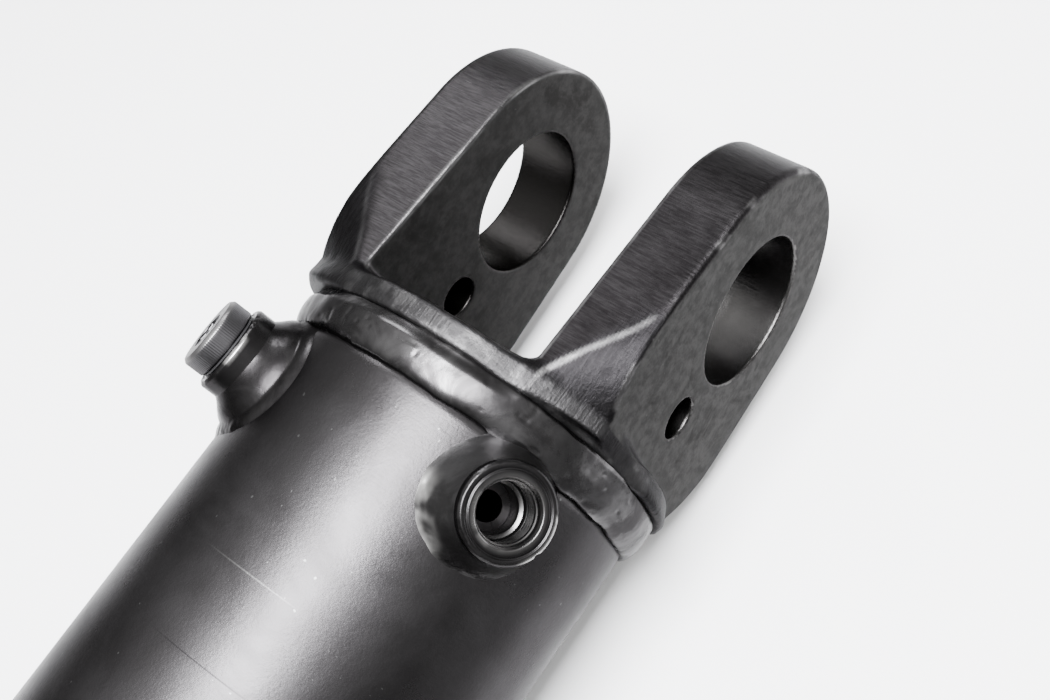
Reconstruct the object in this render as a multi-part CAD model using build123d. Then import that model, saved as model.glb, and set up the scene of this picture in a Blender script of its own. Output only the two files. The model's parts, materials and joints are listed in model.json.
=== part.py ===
from build123d import *
from math import cos, radians, sin
import os

# Double-acting hydraulic cylinder, fully retracted at rest, millimetres.
# Origin: centre of the base clevis's pin bore. +X runs along the cylinder towards the rod eye,
# +Y along the pin bores, +Z up. The oil ports face up and to the sides, 45 degrees from +Z.

# Driving dimensions
PIN_BORE_R = 25.0            # both pin bores take a 50 mm pin
BORE_R = 50.0                # cylinder bore
TUBE_R = 61.0                # outside of the barrel tube
ROD_R = 28.0                 # piston rod
STROKE = 300.0
FIT = 0.05                   # radial clearance of a running or sliding fit

# Base clevis
EAR_OUTER_Y = 56.0
EAR_GAP = 64.0
EAR_TIP_R = 46.5
EAR_TAPER = 5.0              # degrees that each side of an ear widens towards the tube
EAR_EDGE = 3.0               # rounding of the ears' outer edges
SLOT_FLOOR_X = 61.5
SLOT_ROOT_R = 5.0
BORE_CHAMFER = 1.5
LOCK_HOLE_X = 40.5
LOCK_HOLE_R = 7.0            # tapping size of the pin's lock bolt
FLARE_START = (28.0, 74.0)   # (x, r) where the neck begins to draw in behind the ears
FLARE_MID = (48.0, 68.5)
COLLAR_LIP = (66.6, 63.2)    # half sizes along Y and Z: the lip stands proud at the sides
COLLAR_LIP_EDGE = 2.5
GROOVE_X = 69.5              # forging edge beside the weld
GROOVE_R = 61.6
CAP_FACE_X = 90.0            # inner end of the spigot, which closes the bore

# Barrel tube and its weld to the clevis
BEAD_END_X = 83.0
BEAD_R = 64.3
WELD_ROOT_X = (75.0, 79.0)
ROOT_R = BORE_R + FIT
TUBE_END_X = 547.0
THREAD_R = 51.5              # counterbore for the screwed gland
THREAD_START_X = 516.5

# Ports
PORT_ANGLE = 45.0
PORT_FACE_H = 74.5           # height of a boss's face above the cylinder axis
PORT_SEAT_H = 56.0           # floor of the pocket in the tube that the boss stands in
PORT_BOSS_R = 14.0
PORT_BOSS_EDGE = 0.8
PORT_THREAD_R = 8.75         # tapping size of a 3/4-16 port
PORT_MOUTH_R = 9.4
PORT_MOUTH_DEPTH = 1.2
PORT_OIL_R = 4.5
PORT_WELD_R = 21.0
PORT_WELD_H = 67.5
PORT_WELD_SLOPE = 1.55       # how far a weld's cone would spread at the tube's bore, in weld radii
PORTS = {"base_port": (98.0, PORT_ANGLE), "spare_port": (101.0, -PORT_ANGLE), "rod_port": (485.0, PORT_ANGLE)}

# Port plug
PLUG_HEAD_R = 11.6
PLUG_HEAD_H = 7.2
PLUG_HEAD_EDGE = 0.8
PLUG_SHANK = 12.0
PLUG_SOCKET_AF = 10.0
PLUG_SOCKET_DEPTH = 5.0
PLUG_SEAL_R = 11.0
PLUG_SEAL_T = 0.6

# Piston set, placed from the cap face
NUT_X = 93.5
NUT_H = 25.5
NUT_AF = 60.0
ROD_STUB_R = 20.0
ROD_STUB_END_X = 92.0
PISTON_X = NUT_X + NUT_H
PISTON_L = 50.0
PISTON_R = 49.5
ROD_SHOULDER_X = PISTON_X + PISTON_L
WEAR_RING_W = 12.0
WEAR_RING_T = 2.5
WEAR_RING_XS = (PISTON_X + 4.0, PISTON_X + PISTON_L - 4.0 - WEAR_RING_W)
SEAL_W = 8.0
SEAL_X = PISTON_X + (PISTON_L - SEAL_W) / 2
SEAL_GROOVE_R = 42.0
SEAL_T = 5.0
ENERGISER_R = 1.4
BORE_ORING_R = 1.3
BORE_ORING_X = PISTON_X + 14.0

# Gland, screwed into the end of the tube
GLAND_X = ROD_SHOULDER_X + STROKE + 2.0
GLAND_NOSE_END_X = 498.0
GLAND_NOSE_R = 42.0
GLAND_END_X = 562.0
GLAND_FLANGE_R = 60.0
GLAND_EDGE = 2.5
SPANNER_SLOTS = 6
SPANNER_SLOT_W = 9.0
SPANNER_SLOT_DEPTH = 5.0
SPANNER_SLOT_X = TUBE_END_X + 2.5
ORING_GROOVE = (503.0, 511.0, 45.4)
ORING_R = 2.25
FACE_ORING_R = 1.2
FACE_ORING_PITCH_R = 54.5
LOCK_SCREW_X = 532.0
LOCK_SCREW_R = 3.0
GLAND_BORE_R = ROD_R + 0.4
GUIDE_RINGS = ((475.0, 489.0, 31.0), (521.0, 531.0, 31.0))
BUFFER_SEAL = (494.0, 500.0, 34.0)
ROD_SEAL = (506.0, 516.0, 35.5)
WIPER = (552.0, GLAND_END_X, 34.5)

# Rod eye
EYE_X = 630.0
EYE_R = 46.0
EYE_HALF_W = 30.0
EYE_SEAT_R = 30.0
EYE_SEAL_W = 4.0
EYE_SEAL_R = 25.6
EYE_NECK_X = 580.0
EYE_NECK_R = 29.5
ROD_END_X = 574.0
ROD_WELD_R = 31.5
ROD_BEVEL_L = 4.0            # weld preparation on the end of the rod
ROD_BEVEL_R = 22.0
NIPPLE_R = 3.0
NIPPLE_HEX_AF = 9.0
NIPPLE_H = 13.0

os.makedirs("parts", exist_ok=True)


def turned(*points):
    """Solid of revolution about the cylinder axis, from closed (x, r) points."""
    return revolve(Plane.XZ * make_face(Polyline(*points, close=True)), Axis.X)


def rod_shape(x0, x1, r):
    return turned((x0, 0), (x1, 0), (x1, r), (x0, r))


def sleeve(x0, x1, r_in, r_out):
    return turned((x0, r_in), (x1, r_in), (x1, r_out), (x0, r_out))


def ring(x, pitch_r, section_r):
    """O-ring of round section about the cylinder axis."""
    return revolve(Plane.XZ * Pos(x, pitch_r) * Circle(section_r), Axis.X)


def across(r, y0, y1, x, z=0.0):
    """Cylinder along the pin direction, between two Y planes."""
    return extrude(Plane((x, y0, z), x_dir=(1, 0, 0), z_dir=(0, 1, 0)) * Circle(r), y1 - y0)


def radial_plane(x, degrees, height):
    """Plane square to a radial line that leans from +Z towards +Y."""
    tilt = Rot(X=-degrees)
    return Plane(Location((x, 0, 0)) * tilt * Location((0, 0, height)))


def radial(x, degrees, h0, h1, r, r_top=None):
    """Round solid on a radial line, from height h0 to h1; conical if r_top is given."""
    base = radial_plane(x, degrees, h0)
    if r_top is None:
        return extrude(base * Circle(r), h1 - h0)
    top = radial_plane(x, degrees, h1)
    return loft([base * Circle(r), top * Circle(r_top)])


def ear_outline():
    """Side view of the ears: a round tip about the pin bore and two widening sides."""
    sine, cosine = sin(radians(EAR_TAPER)), cos(radians(EAR_TAPER))
    end_x = SLOT_FLOOR_X + 4
    end_z = (EAR_TIP_R + end_x * sine) / cosine
    touch = (-EAR_TIP_R * sine, EAR_TIP_R * cosine)
    sides = make_face(Polyline(touch, (end_x, end_z), (end_x, -end_z), (touch[0], -touch[1]), close=True))
    return Circle(EAR_TIP_R) + sides


def base_clevis():
    ears = extrude(Plane.XZ * ear_outline(), EAR_OUTER_Y, both=True)
    ears = fillet(ears.faces().filter_by(Axis.Y).edges(), EAR_EDGE)
    arc = ThreePointArc(FLARE_START, FLARE_MID, (SLOT_FLOOR_X + 1.5, TUBE_R))
    rest = Polyline((SLOT_FLOOR_X + 1.5, TUBE_R), (SLOT_FLOOR_X + 4, TUBE_R), (SLOT_FLOOR_X + 4, 0), (-60, 0),
                    (-60, 90), (FLARE_START[0], 90), FLARE_START)
    ears &= revolve(Plane.XZ * make_face([arc, rest]), Axis.X)
    half_gap = EAR_GAP / 2
    slot = Pos(SLOT_FLOOR_X - 100, 0, 0) * Box(200, EAR_GAP, 200)
    slot = fillet(slot.edges().filter_by(Axis.Z).group_by(Axis.X)[-1], SLOT_ROOT_R)
    ears -= slot
    collar = turned((SLOT_FLOOR_X, 0), (SLOT_FLOOR_X, TUBE_R - 0.5), (GROOVE_X, GROOVE_R),
                    (WELD_ROOT_X[0], ROOT_R - FIT), (WELD_ROOT_X[0], BORE_R - FIT),
                    (CAP_FACE_X - 2, BORE_R - FIT), (CAP_FACE_X, BORE_R - FIT - 2), (CAP_FACE_X, 0))
    body = ears + collar + collar_lip()
    body -= across(PIN_BORE_R, -EAR_OUTER_Y - 1, EAR_OUTER_Y + 1, 0)
    body -= across(LOCK_HOLE_R, -EAR_OUTER_Y - 1, EAR_OUTER_Y + 1, LOCK_HOLE_X)
    for y, away in ((EAR_OUTER_Y, 1), (half_gap, -1), (-half_gap, 1), (-EAR_OUTER_Y, -1)):
        body -= countersink(PIN_BORE_R, y, away, 0)
    return body


def collar_lip():
    """Oval rim round the collar, widest where the forging dies met."""
    start = Plane((SLOT_FLOOR_X + 1, 0, 0), x_dir=(0, 1, 0), z_dir=(1, 0, 0))
    rim = extrude(start * Ellipse(*COLLAR_LIP), GROOVE_X - SLOT_FLOOR_X - 2)
    return fillet(rim.edges(), COLLAR_LIP_EDGE)


def countersink(r, y, away, x):
    """Conical cutter that bevels a bore's edge on the face at y; away is the way out of the metal."""
    y_in = y - away * BORE_CHAMFER
    mouth = Plane((x, y, 0), x_dir=(1, 0, 0), z_dir=(0, 1, 0)) * Circle(r + BORE_CHAMFER)
    floor = Plane((x, y_in, 0), x_dir=(1, 0, 0), z_dir=(0, 1, 0)) * Circle(r)
    return loft([floor, mouth] if away > 0 else [mouth, floor])


def base_weld():
    return turned((GROOVE_X, GROOVE_R), (GROOVE_X + 3, BEAD_R - 0.2), (GROOVE_X + 6.5, BEAD_R),
                  (BEAD_END_X - 3, BEAD_R - 0.6), (BEAD_END_X, TUBE_R), (WELD_ROOT_X[1], ROOT_R),
                  (WELD_ROOT_X[0], ROOT_R))


def tube():
    body = turned((WELD_ROOT_X[1], BORE_R), (THREAD_START_X, BORE_R), (THREAD_START_X, THREAD_R),
                  (TUBE_END_X, THREAD_R), (TUBE_END_X, TUBE_R - 1), (TUBE_END_X - 1, TUBE_R),
                  (BEAD_END_X, TUBE_R), (WELD_ROOT_X[1], ROOT_R))
    for x, degrees in PORTS.values():
        body -= radial(x, degrees, PORT_SEAT_H, TUBE_R + 5, PORT_BOSS_R)
        body -= radial(x, degrees, BORE_R - 10, TUBE_R, PORT_OIL_R)
    return body - radial(LOCK_SCREW_X, 0, BORE_R - 2, TUBE_R + 5, LOCK_SCREW_R)


def port_boss(x, degrees):
    body = radial(x, degrees, PORT_SEAT_H, PORT_FACE_H, PORT_BOSS_R)
    body = chamfer(body.edges().filter_by(GeomType.CIRCLE).group_by(SortBy.DISTANCE)[-1], PORT_BOSS_EDGE)
    body -= radial(x, degrees, PORT_SEAT_H - 1, PORT_FACE_H + 1, PORT_THREAD_R)
    mouth_floor = PORT_FACE_H - PORT_MOUTH_DEPTH
    return body - radial(x, degrees, mouth_floor, PORT_FACE_H, PORT_THREAD_R, PORT_MOUTH_R)


def port_weld(x, degrees):
    """Fillet of weld metal between a boss and the tube."""
    skirt = radial(x, degrees, BORE_R, PORT_WELD_H, PORT_WELD_R * PORT_WELD_SLOPE, PORT_BOSS_R + 0.2)
    skirt &= radial(x, degrees, BORE_R, PORT_WELD_H, PORT_WELD_R)
    skirt -= rod_shape(x - 40, x + 40, TUBE_R)
    skirt -= base_weld()
    return skirt - radial(x, degrees, BORE_R, PORT_FACE_H, PORT_BOSS_R)


def port_plug():
    x, degrees = PORTS["spare_port"]
    head_h = PORT_FACE_H + PLUG_SEAL_T
    head = radial(x, degrees, head_h, head_h + PLUG_HEAD_H, PLUG_HEAD_R)
    head = chamfer(head.edges().filter_by(GeomType.CIRCLE), PLUG_HEAD_EDGE)
    shank = radial(x, degrees, head_h - PLUG_SHANK, head_h + 1, PORT_THREAD_R - FIT)
    socket_floor = radial_plane(x, degrees, head_h + PLUG_HEAD_H - PLUG_SOCKET_DEPTH)
    return head + shank - extrude(socket_floor * RegularPolygon(PLUG_SOCKET_AF / 2, 6, False), 6)


def plug_seal():
    x, degrees = PORTS["spare_port"]
    top = PORT_FACE_H + PLUG_SEAL_T
    seal = radial(x, degrees, PORT_FACE_H, top, PLUG_SEAL_R)
    return seal - radial(x, degrees, PORT_FACE_H - 1, top + 1, PORT_THREAD_R)


def gland():
    thread_r = THREAD_R - FIT
    body = turned((GLAND_X, GLAND_BORE_R), (GLAND_X, GLAND_NOSE_R), (GLAND_NOSE_END_X, GLAND_NOSE_R),
                  (GLAND_NOSE_END_X + 2, BORE_R - FIT), (THREAD_START_X, BORE_R - FIT),
                  (THREAD_START_X, thread_r), (TUBE_END_X, thread_r), (TUBE_END_X, GLAND_FLANGE_R),
                  (GLAND_END_X - GLAND_EDGE, GLAND_FLANGE_R), (GLAND_END_X, GLAND_FLANGE_R - GLAND_EDGE),
                  (GLAND_END_X, GLAND_BORE_R))
    for x0, x1, r in (*GUIDE_RINGS, BUFFER_SEAL, ROD_SEAL, WIPER):
        body -= sleeve(x0, x1, ROD_R, r)
    body -= sleeve(ORING_GROOVE[0], ORING_GROOVE[1], ORING_GROOVE[2], BORE_R + 1)
    body -= sleeve(TUBE_END_X, TUBE_END_X + 2 * FACE_ORING_R, FACE_ORING_PITCH_R - FACE_ORING_R,
                   FACE_ORING_PITCH_R + FACE_ORING_R)
    length, depth = GLAND_END_X - SPANNER_SLOT_X + 5, SPANNER_SLOT_DEPTH + 2
    slot_centre = Pos(SPANNER_SLOT_X + length / 2, 0, GLAND_FLANGE_R - SPANNER_SLOT_DEPTH + depth / 2)
    slot = slot_centre * Box(length, SPANNER_SLOT_W, depth)
    for k in range(SPANNER_SLOTS):
        body -= Rot(X=360 * k / SPANNER_SLOTS) * slot
    return body


def gland_orings():
    x0, x1, r = ORING_GROOVE
    oring = ring(x0 + ORING_R + 0.2, r + ORING_R, ORING_R)
    backup = sleeve(x1 - 2.2, x1, r, BORE_R - FIT)
    face_oring = ring(TUBE_END_X + FACE_ORING_R, FACE_ORING_PITCH_R, FACE_ORING_R)
    return oring, backup, face_oring


def lip_seal(x0, x1, r_out):
    """U-cup: two lips open towards the oil, touching the rod and the groove."""
    r_in = ROD_R + FIT
    mid = (r_in + r_out) / 2
    return turned((x0, r_in), (x0, r_in + 1.2), (x0 + 0.4 * (x1 - x0), mid), (x0, r_out - 1.2), (x0, r_out),
                  (x1, r_out), (x1, r_in))


def wiper():
    x0, x1, r_out = WIPER
    r_in = ROD_R + FIT
    return turned((x0, r_in + 1.5), (x0, r_out), (x1 - 3, r_out), (x1 - 2.5, r_in + 3), (x1 + 2, r_in + 0.8),
                  (x1 + 2, r_in))


def lock_screw():
    body = radial(LOCK_SCREW_X, 0, THREAD_R, TUBE_R - 0.5, LOCK_SCREW_R)
    socket = radial_plane(LOCK_SCREW_X, 0, TUBE_R - 3.5) * RegularPolygon(1.5, 6, False)
    return body - extrude(socket, 4)


def piston():
    body = turned((PISTON_X, ROD_STUB_R), (PISTON_X, PISTON_R - 1.5), (PISTON_X + 1.5, PISTON_R),
                  (ROD_SHOULDER_X - 1.5, PISTON_R), (ROD_SHOULDER_X, PISTON_R - 1.5),
                  (ROD_SHOULDER_X, ROD_STUB_R))
    for x in WEAR_RING_XS:
        body -= sleeve(x - FIT, x + WEAR_RING_W + FIT, BORE_R - FIT - WEAR_RING_T - FIT, BORE_R)
    body -= sleeve(SEAL_X - FIT, SEAL_X + SEAL_W + FIT, SEAL_GROOVE_R, BORE_R)
    groove_end_x = BORE_ORING_X + 2 * BORE_ORING_R + 0.4
    return body - sleeve(BORE_ORING_X, groove_end_x, ROD_STUB_R, ROD_STUB_R + 2 * BORE_ORING_R)


def piston_nut():
    hexagon = Plane((NUT_X, 0, 0), x_dir=(0, 1, 0), z_dir=(1, 0, 0)) * RegularPolygon(NUT_AF / 2, 6, False)
    return extrude(hexagon, NUT_H) - rod_shape(NUT_X - 1, PISTON_X + 1, ROD_STUB_R)


def rod():
    return turned((ROD_STUB_END_X, 0), (ROD_STUB_END_X, ROD_STUB_R - 2), (ROD_STUB_END_X + 2, ROD_STUB_R),
                  (ROD_SHOULDER_X, ROD_STUB_R), (ROD_SHOULDER_X, ROD_R - 1), (ROD_SHOULDER_X + 1, ROD_R),
                  (ROD_END_X, ROD_R), (ROD_END_X + ROD_BEVEL_L, ROD_BEVEL_R), (ROD_END_X + ROD_BEVEL_L, 0))


def rod_eye():
    body = across(EYE_R, -EYE_HALF_W, EYE_HALF_W, EYE_X)
    body = fillet(body.edges().filter_by(GeomType.CIRCLE), EAR_EDGE)
    neck_end_x = EYE_X - EYE_SEAT_R - 4
    neck_x = ROD_END_X + ROD_BEVEL_L
    body += turned((neck_x, 0), (neck_x, ROD_BEVEL_R), (EYE_NECK_X, EYE_NECK_R), (neck_end_x, EYE_NECK_R),
                   (neck_end_x, 0))
    body -= across(EYE_SEAT_R, -EYE_HALF_W - 1, EYE_HALF_W + 1, EYE_X)
    return body - radial(EYE_X, 0, EYE_SEAT_R - 2, EYE_R + 5, NIPPLE_R)


def rod_eye_weld():
    return turned((ROD_END_X, ROD_R), (ROD_END_X - 1.5, ROD_R + 1), (ROD_END_X + 1, ROD_WELD_R),
                  (EYE_NECK_X - 1, ROD_WELD_R), (EYE_NECK_X, EYE_NECK_R),
                  (ROD_END_X + ROD_BEVEL_L, ROD_BEVEL_R))


def eye_bush():
    half = EYE_HALF_W - EYE_SEAL_W
    body = across(EYE_SEAT_R, -half, half, EYE_X) - across(PIN_BORE_R, -half - 1, half + 1, EYE_X)
    return body - radial(EYE_X, 0, PIN_BORE_R - 5, EYE_SEAT_R + 1, NIPPLE_R - 1)


def eye_seals():
    seals = []
    for side in (-1, 1):
        y0, y1 = sorted((side * (EYE_HALF_W - EYE_SEAL_W), side * (EYE_HALF_W + 0.4)))
        seals.append(across(EYE_SEAT_R, y0, y1, EYE_X) - across(EYE_SEAL_R, y0 - 1, y1 + 1, EYE_X))
    return Compound(children=seals)


def grease_nipple():
    seat = EYE_R - 0.6
    hexagon = radial_plane(EYE_X, 0, seat) * RegularPolygon(NIPPLE_HEX_AF / 2, 6, False)
    shank = radial(EYE_X, 0, EYE_R - 8, seat + 1, NIPPLE_R)
    flat = across(NIPPLE_HEX_AF, -EYE_HALF_W, EYE_HALF_W, EYE_X)
    cone = radial(EYE_X, 0, seat + 4, seat + NIPPLE_H - 4, NIPPLE_R, 2.2)
    head = radial(EYE_X, 0, seat + NIPPLE_H - 4.2, seat + NIPPLE_H, 3.2, 2.0)
    return (extrude(hexagon, 4) + shank + cone + head) - (across(EYE_R, -20, 20, EYE_X) - shank) - flat


def write(name, solid):
    export_step(solid, f"parts/{name}.step")


write("base_clevis", base_clevis())
write("base_weld", base_weld())
write("tube", tube())
for port, (x, degrees) in PORTS.items():
    write(f"{port}_boss", port_boss(x, degrees))
    write(f"{port}_weld", port_weld(x, degrees))
write("port_plug", port_plug())
write("plug_seal", plug_seal())

write("gland", gland())
for name, solid in zip(("gland_oring", "gland_backup_ring", "gland_face_oring"), gland_orings()):
    write(name, solid)
for name, (x0, x1, r) in zip(("guide_ring_inner", "guide_ring_outer"), GUIDE_RINGS):
    write(name, sleeve(x0, x1, ROD_R + FIT, r))
write("buffer_seal", lip_seal(*BUFFER_SEAL))
write("rod_seal", lip_seal(*ROD_SEAL))
write("wiper", wiper())
write("gland_lock_screw", lock_screw())

write("piston", piston())
for name, x in zip(("piston_wear_ring_cap_side", "piston_wear_ring_rod_side"), WEAR_RING_XS):
    write(name, sleeve(x, x + WEAR_RING_W, BORE_R - FIT - WEAR_RING_T, BORE_R - FIT))
write("piston_seal", sleeve(SEAL_X, SEAL_X + SEAL_W, BORE_R - FIT - SEAL_T, BORE_R - FIT))
write("piston_seal_energiser", ring(SEAL_X + SEAL_W / 2, SEAL_GROOVE_R + FIT + ENERGISER_R, ENERGISER_R))
write("piston_bore_oring", ring(BORE_ORING_X + BORE_ORING_R + 0.2, ROD_STUB_R + BORE_ORING_R, BORE_ORING_R))
write("piston_nut", piston_nut())
write("rod", rod())

write("rod_eye", rod_eye())
write("rod_eye_weld", rod_eye_weld())
write("rod_eye_bush", eye_bush())
write("rod_eye_dust_seals", eye_seals())
write("grease_nipple", grease_nipple())
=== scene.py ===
import json
from math import cos, pi, radians, sin, sqrt, tau

import bpy
import numpy as np
from mathutils import Matrix, Vector


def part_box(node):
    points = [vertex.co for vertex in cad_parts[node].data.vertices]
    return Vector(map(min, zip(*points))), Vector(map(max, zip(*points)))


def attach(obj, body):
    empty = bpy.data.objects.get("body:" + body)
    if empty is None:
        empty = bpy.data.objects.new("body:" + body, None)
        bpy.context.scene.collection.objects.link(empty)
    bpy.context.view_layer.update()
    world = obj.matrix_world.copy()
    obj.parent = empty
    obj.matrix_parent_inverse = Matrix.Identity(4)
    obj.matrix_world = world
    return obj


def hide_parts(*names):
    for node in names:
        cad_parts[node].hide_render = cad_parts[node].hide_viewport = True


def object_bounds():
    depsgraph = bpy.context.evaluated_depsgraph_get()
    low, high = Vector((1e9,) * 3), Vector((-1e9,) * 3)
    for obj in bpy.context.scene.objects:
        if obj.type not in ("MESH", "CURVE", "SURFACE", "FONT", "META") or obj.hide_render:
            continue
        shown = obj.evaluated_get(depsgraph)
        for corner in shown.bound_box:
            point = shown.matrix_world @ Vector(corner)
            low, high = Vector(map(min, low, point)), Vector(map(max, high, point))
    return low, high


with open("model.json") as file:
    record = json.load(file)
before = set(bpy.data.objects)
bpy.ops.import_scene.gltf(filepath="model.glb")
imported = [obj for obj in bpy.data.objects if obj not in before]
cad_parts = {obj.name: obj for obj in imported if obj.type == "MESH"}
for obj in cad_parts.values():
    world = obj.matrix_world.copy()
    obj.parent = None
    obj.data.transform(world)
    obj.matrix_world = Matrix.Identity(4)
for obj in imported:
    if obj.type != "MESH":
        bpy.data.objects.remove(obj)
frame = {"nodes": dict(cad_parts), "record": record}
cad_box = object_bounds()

# The object's own sizes, in millimetres, in the frame of the CAD model: +X along the cylinder from the
# base pin to the rod eye, +Y along the pins, +Z up. Blender objects are made in metres from them.
MM = 0.001
MOUNTS = {m["name"]: m for m in frame["record"]["mounts"]}


def mount_place(name):
    return [value / MM for value in MOUNTS[name]["pos_m"]]


def span(node, axis):
    """Lowest and highest coordinate of a CAD node along an axis, in millimetres."""
    low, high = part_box(node)
    return low[axis] / MM, high[axis] / MM


FORGING_STEP = 0.75          # spacing of the surface points on the two forgings
PIN_R = MOUNTS["base_pin"]["dims"]["r_mm"]
EAR_Y = 56.0
GAP_Y = 32.0
EAR_TIP_R = 46.5
EAR_TAPER = radians(5.0)
SLOT_FLOOR_X = 61.5
SLOT_ROOT_R = 5.0
LOCK_X = mount_place("pin_lock_bolt")[0]
LOCK_R = MOUNTS["pin_lock_bolt"]["dims"]["r_mm"]
FLARE_X = (29.3, 61.0)       # where the neck's flare leaves the ears and where it is fullest
COLLAR_R = 63.0              # on top and below; the lips at the sides stand out by COLLAR_LIP
COLLAR_LIP = 3.5
GROOVE_X = 69.5
BEAD_END_X = 83.0
BEAD_TOP_R = 64.2
TUBE_R = 61.0
BORE_R = 50.0
TUBE_START_X = 80.0
TUBE_END_X = span("tube", 0)[1]
GLAND_THREAD_X = 515.0       # where the counterbore for the gland begins in the tube
GLAND_THREAD_R = 51.5
GLAND_END_X = 562.0
GLAND_R = 60.0
ROD_R = 28.0
ROD_END_X = 574.0
PISTON_STUB_R = 20.0
PISTON_STUB_X = (92.0, 169.0)
PORT_FACE_H = 74.5
PORT_SEAT_H = 56.0
PORT_BOSS_R = 14.0
PORT_THREAD_R = MOUNTS["base_port"]["dims"]["r_mm"]
PORT_MOUTH_R = 9.4
THREAD_PITCH = 25.4 / 16
THREAD_DEPTH = 0.62
THREAD_CREST_R = PORT_THREAD_R - 0.6
PORT_DRILL_R = 6.9           # the smaller bore below the thread
OIL_HOLE_R = 4.5
PLUG_BASE_H = 75.1
PLUG_TOP_H = 82.3
PLUG_R = 11.6
SOCKET_HALF_AF = 5.0         # half of the width across the socket's flats
KNURL_TEETH = 96
KNURL_DEPTH = 0.07
BASE_PORT_X = mount_place("base_port")[0]
SPARE_PORT_X = sum(span("spare_port_boss", 0)) / 2
ROD_PORT_X = mount_place("rod_port")[0]
EYE_X = mount_place("rod_pin")[0]
EYE_R = 46.0
EYE_Y = 30.0
EYE_SEAT_R = 30.0
EYE_NECK_R = 29.5
BUSH_Y = 26.0
LOCK_SCREW_HOLE_R = 3.05
NIPPLE_HOLE_R = 3.4

# The stage, in metres
FLOOR_HALF = 40.0
FLAG_SPAN = (-0.02, 1.4, 0.07, 1.4)   # from and to along X, then along Y
CARD_ROUGHNESS = 0.9
LIGHT_TINT = (0.965, 0.972, 1.0)
SKY_STRENGTH = 4.0
SKY_GREYS = ((0.0, 0.10), (0.33, 0.17), (0.60, 0.32), (0.90, 0.62), (1.0, 0.90))   # height, grey


# Noise and distance fields

def lattice_noise(points, seed):
    """Smooth noise between -1 and 1 on a unit lattice, the same on every run."""
    cell = np.floor(points).astype(np.int64)
    part = points - cell
    part = part * part * (3 - 2 * part)
    total = np.zeros(points.shape[:-1])
    for corner in np.ndindex(2, 2, 2):
        place = cell + np.array(corner)
        key = place[..., 0] * 73856093 ^ place[..., 1] * 19349663 ^ place[..., 2] * 83492791
        key = key ^ seed * 15485863
        key = (key ^ (key >> 13)) * 1274126177 & 0x7FFFFFFF
        value = ((key ^ (key >> 16)) & 0xFFFF) / 32767.5 - 1
        total += value * np.prod(np.where(np.array(corner) == 1, part, 1 - part), axis=-1)
    return total


def cloud(points, size, seed, octaves=3):
    """Layers of noise whose largest features are about size millimetres across."""
    total = sum(lattice_noise(points * 2**k / size, seed + k) / 2**k for k in range(octaves))
    return total / (2 - 2.0 ** (1 - octaves))


def smooth_max(a, b, radius):
    """The larger of two distances, with the edge between them rounded."""
    overlap = np.maximum(radius - np.abs(a - b), 0) / radius
    return np.maximum(a, b) + overlap * overlap * radius / 4


def smooth_min(a, b, radius):
    return -smooth_max(-a, -b, radius)


def ramp(value, low, high):
    """0 below low, 1 above high, smooth between."""
    part = np.clip((value - low) / (high - low), 0, 1)
    return part * part * (3 - 2 * part)


def rounded_box_2d(a, b, half_a, half_b, radius):
    qa, qb = np.abs(a) - half_a + radius, np.abs(b) - half_b + radius
    return np.hypot(np.maximum(qa, 0), np.maximum(qb, 0)) + np.minimum(np.maximum(qa, qb), 0) - radius


def ear_outline(x, z):
    """Distance to the ears' side view: a round tip and two sides that widen towards the tube."""
    side = np.abs(z)
    beyond_tip = x * cos(EAR_TAPER) + side * sin(EAR_TAPER) > 0
    return np.where(beyond_tip, side * cos(EAR_TAPER) - x * sin(EAR_TAPER), np.hypot(x, z)) - EAR_TIP_R


def oval(y, z, half_y, half_z):
    """Distance to an oval tube about the cylinder axis."""
    level = np.sqrt((y / half_y) ** 2 + (z / half_z) ** 2) + 1e-9
    steepness = np.sqrt((y / half_y**2) ** 2 + (z / half_z**2) ** 2) / level + 1e-6
    return (level - 1) / steepness


def neck_flare(x, y, z):
    """Distance to the flare behind the ears: flat-sided beside them and nearly round at the collar."""
    along = np.clip((x - FLARE_X[0]) / (FLARE_X[1] - FLARE_X[0]), 0, 1)
    return oval(y, z, TUBE_R / np.sqrt(0.20 + 0.44 * along**2), TUBE_R / np.sqrt(1.30 - 0.232 * along**1.3))


def collar_radius(angle):
    """Radius of the collar by angle from +Z towards +Y: a lip on each side, of which the near one starts
    sharply."""
    turn = np.degrees((angle + pi) % tau - pi)
    far = ramp(-turn, 22, 46) * ramp(turn, -152, -122) * (1 + 0.2 * ramp(20 - np.abs(turn + 54), 0, 20))
    near = ramp(turn, 70, 80) * ramp(-turn, -152, -122)
    return COLLAR_R + COLLAR_LIP * (far + near)


def slot_room(x, y):
    return rounded_box_2d(y, x + 100, GAP_Y, SLOT_FLOOR_X + 100, SLOT_ROOT_R)


def clevis_field(points):
    x, y, z = points[..., 0], np.abs(points[..., 1]), points[..., 2]
    ears = smooth_max(ear_outline(x, z), y - EAR_Y, 2.6)
    ears = smooth_max(ears, neck_flare(x, y, z), 1.2)
    ears = smooth_max(ears, x - SLOT_FLOOR_X - 5, 1.0)
    ears = smooth_max(ears, -slot_room(x, y), 1.0)
    middle_x = (SLOT_FLOOR_X + GROOVE_X) / 2
    lip = collar_radius(np.arctan2(points[..., 1], z)) - COLLAR_R
    rim = np.hypot(y, z) - COLLAR_R - lip * (0.35 + 0.65 * ramp(x, SLOT_FLOOR_X, GROOVE_X - 1.5)) + BORE_R
    collar = rounded_box_2d(x - middle_x, rim, GROOVE_X - middle_x, BORE_R, 1.8)
    body = smooth_min(ears, collar, 5.0)
    body = smooth_max(body, PIN_R - np.hypot(x, z), 1.0)
    return smooth_max(body, LOCK_R - np.hypot(x - LOCK_X, z), 0.8)


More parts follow.
